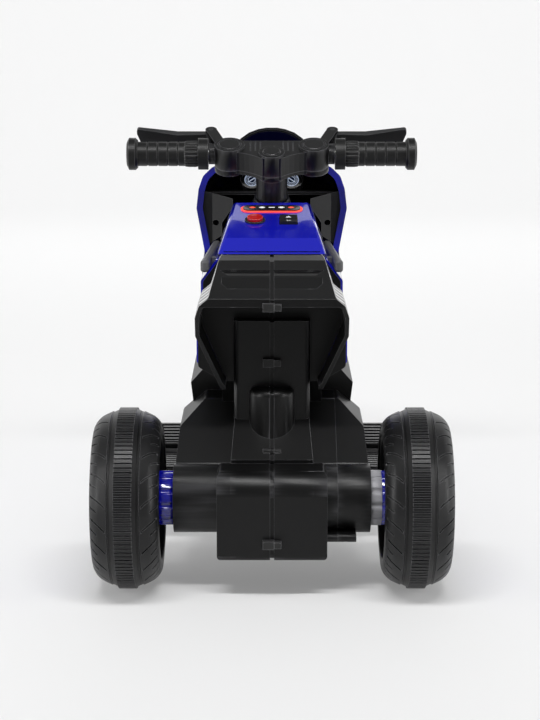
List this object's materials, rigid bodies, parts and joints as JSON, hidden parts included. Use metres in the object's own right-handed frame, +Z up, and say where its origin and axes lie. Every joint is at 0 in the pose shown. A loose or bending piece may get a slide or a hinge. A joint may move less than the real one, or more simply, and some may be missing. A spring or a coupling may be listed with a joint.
{
  "type": "kids electric motorbike",
  "caption": "Battery ride-on toy motorbike on one front and two rear wheels, with raked steering, twin levers, dash switch and start button, seat, footrests and accelerator pedal.",
  "frame": {"origin": "on the floor under the middle of the whole bounding box", "axes": "+X to the rider's right, +Y forwards, +Z up"},
  "size_m": [0.44, 0.8, 0.5243],
  "materials": {
    "black_plastic": "satin black moulded plastic with a fine grain",
    "wheel_plastic": "black moulded wheel plastic with a ribbed tread",
    "dark_grey_plastic": "dark grey moulded plastic",
    "light_grey_plastic": "light grey engineering plastic",
    "blue_gloss": "glossy royal blue plastic",
    "red_gloss": "glossy red translucent plastic",
    "display_gloss": "glossy black display cover",
    "dial_face": "printed dial face",
    "lens_clear": "clear moulded lens",
    "grip_rubber": "matt black grip",
    "zinc_steel": "zinc-plated steel",
    "cell_case": "sealed battery case",
    "board_case": "control board in a moulded case",
    "nylon_white": "white nylon bearing"
  },
  "bodies": {
    "frame_body": {"body_left": "black_plastic", "body_right": "black_plastic", "gear_cover": "black_plastic", "body_screws": "zinc_steel", "seat": "black_plastic", "tank_cover": "blue_gloss", "display_panel": "display_gloss", "display_light_ring": "red_gloss", "start_bezel": "black_plastic", "side_fairing_left": "blue_gloss", "side_fairing_right": "blue_gloss", "side_rail_left": "dark_grey_plastic", "side_rail_right": "dark_grey_plastic", "front_cowl": "blue_gloss", "cowl_liner_left": "dark_grey_plastic", "cowl_liner_right": "dark_grey_plastic", "windscreen": "black_plastic", "headlight_lenses": "lens_clear", "dial_pods": "black_plastic", "dial_faces": "dial_face", "footrest_left": "black_plastic", "footrest_right": "black_plastic", "foot_plate_left": "black_plastic", "foot_plate_pins": "zinc_steel", "rear_axle": "zinc_steel", "rear_axle_nuts": "zinc_steel", "drive_motor": "zinc_steel", "gearbox_case": "light_grey_plastic", "battery": "cell_case", "control_board": "board_case", "steering_bushes": "nylon_white", "steering_collar": "black_plastic"},
    "steering": {"steering_stem": "zinc_steel", "fork": "black_plastic", "mudguard": "black_plastic", "front_axle": "zinc_steel", "front_axle_nuts": "zinc_steel", "handlebar_cover_upper": "black_plastic", "handlebar_cover_lower": "black_plastic", "handlebar_tube": "zinc_steel", "grip_left": "grip_rubber", "grip_right": "grip_rubber", "center_cap": "black_plastic", "lever_pins": "zinc_steel"},
    "front_wheel": {"front_wheel": "wheel_plastic", "front_trims": "blue_gloss"},
    "rear_wheel_left": {"rear_wheel_left": "wheel_plastic", "rear_hub_left": "blue_gloss", "rear_trim_left": "blue_gloss"},
    "rear_wheel_right": {"rear_wheel_right": "wheel_plastic", "rear_hub_right": "blue_gloss", "rear_trim_right": "blue_gloss", "drive_coupler": "light_grey_plastic"},
    "brake_lever_left": {"brake_lever_left": "black_plastic"},
    "brake_lever_right": {"brake_lever_right": "black_plastic"},
    "horn_button": {"horn_button": "black_plastic"},
    "music_button": {"music_button": "black_plastic"},
    "start_button": {"start_button": "red_gloss"},
    "direction_switch": {"direction_switch": "black_plastic"},
    "accelerator_pedal": {"accelerator_pedal": "black_plastic"}
  },
  "joints": [
    {"name": "steering_turn", "type": "hinge", "parent": "frame_body", "child": "steering", "pos_m": [0, 0.27146, 0.10251], "axis": [0, -0.3746, 0.9272], "range_deg": [-30, 30]},
    {"name": "front_wheel_spin", "type": "hinge", "parent": "steering", "child": "front_wheel", "pos_m": [0, 0.29, 0.11], "axis": [1, 0, 0], "continuous": true},
    {"name": "rear_left_spin", "type": "hinge", "parent": "frame_body", "child": "rear_wheel_left", "pos_m": [-0.174, -0.29, 0.11], "axis": [1, 0, 0], "continuous": true},
    {"name": "rear_right_spin", "type": "hinge", "parent": "frame_body", "child": "rear_wheel_right", "pos_m": [0.174, -0.29, 0.11], "axis": [1, 0, 0], "continuous": true},
    {"name": "brake_left_pull", "type": "hinge", "parent": "steering", "child": "brake_lever_left", "pos_m": [-0.086, 0.16273, 0.50509], "axis": [0, -0.3746, 0.9272], "range_deg": [0, 7], "stiffness_Nm_per_rad": 1, "springref_deg": -5.73},
    {"name": "brake_right_pull", "type": "hinge", "parent": "steering", "child": "brake_lever_right", "pos_m": [0.086, 0.16273, 0.50509], "axis": [0, 0.3746, -0.9272], "range_deg": [0, 7], "stiffness_Nm_per_rad": 1, "springref_deg": -5.73},
    {"name": "horn_press", "type": "slide", "parent": "steering", "child": "horn_button", "axis": [0, 0.3746, -0.9272], "range_m": [0, 0.002], "stiffness_N_per_m": 400, "springref_m": -0.001},
    {"name": "music_press", "type": "slide", "parent": "steering", "child": "music_button", "axis": [0, 0.3746, -0.9272], "range_m": [0, 0.002], "stiffness_N_per_m": 400, "springref_m": -0.001},
    {"name": "start_press", "type": "slide", "parent": "frame_body", "child": "start_button", "axis": [0, 0.2462, -0.9692], "range_m": [0, 0.0025], "stiffness_N_per_m": 400, "springref_m": -0.001},
    {"name": "direction_rock", "type": "hinge", "parent": "frame_body", "child": "direction_switch", "pos_m": [0.023, 0.04637, 0.40378], "axis": [1, 0, 0], "range_deg": [-9, 9]},
    {"name": "pedal_press", "type": "hinge", "parent": "frame_body", "child": "accelerator_pedal", "pos_m": [0.132, -0.043, 0.112], "axis": [-1, 0, 0], "range_deg": [0, 6], "stiffness_Nm_per_rad": 0.5, "springref_deg": -17.19}
  ]
}
